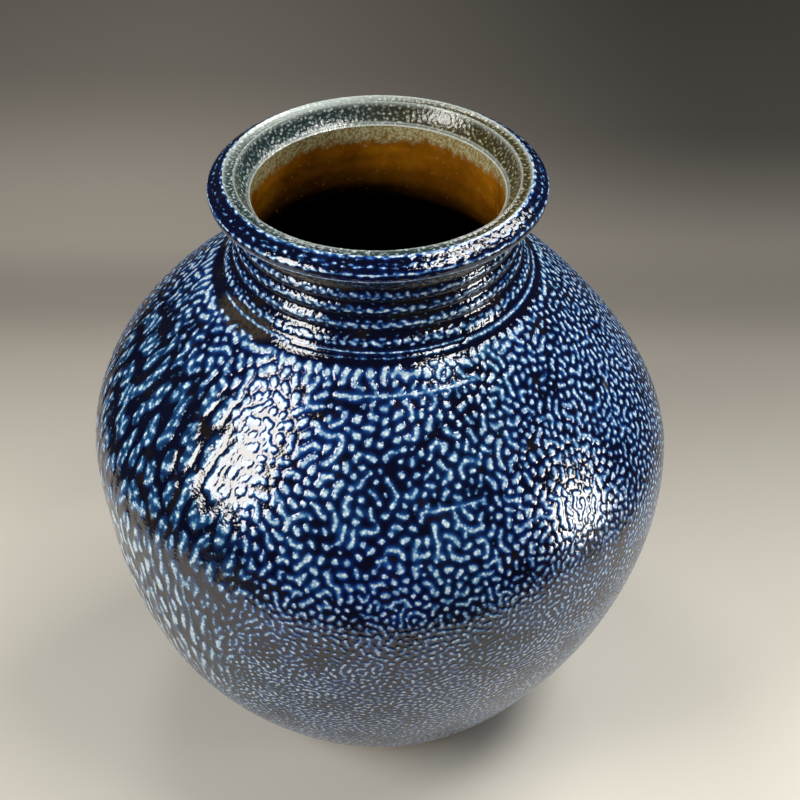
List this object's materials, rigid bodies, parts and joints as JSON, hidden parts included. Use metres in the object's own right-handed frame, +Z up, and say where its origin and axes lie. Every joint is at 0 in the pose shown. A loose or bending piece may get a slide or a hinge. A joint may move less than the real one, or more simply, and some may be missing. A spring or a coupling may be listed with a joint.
{
  "type": "stoneware pottery vase",
  "caption": "Wheel-thrown salt-glazed stoneware vase with a globular cobalt-blue body, ringed neck, rolled flange rim and amber liner glaze.",
  "frame": {"origin": "centre of the foot ring's standing face, on the surface the vase stands on", "axes": "+Z up along the wheel axis; X and Y are free, because the vase is a body of revolution"},
  "size_m": [0.24, 0.24, 0.268],
  "materials": {
    "bare_clay": "matt",
    "salt_glaze": "gloss",
    "gallery_glaze": "gloss",
    "liner_glaze": "gloss"
  },
  "bodies": {
    "root": {"foot_ring": "bare_clay", "base_pad": "bare_clay", "lower_wall": "bare_clay", "shoulder_wall": "bare_clay", "neck_collar": "bare_clay", "rim_ring": "bare_clay", "body_glaze": "salt_glaze", "neck_glaze": "salt_glaze", "rim_glaze": "salt_glaze", "gallery_glaze": "gallery_glaze", "liner_glaze": "liner_glaze"}
  },
  "joints": []
}
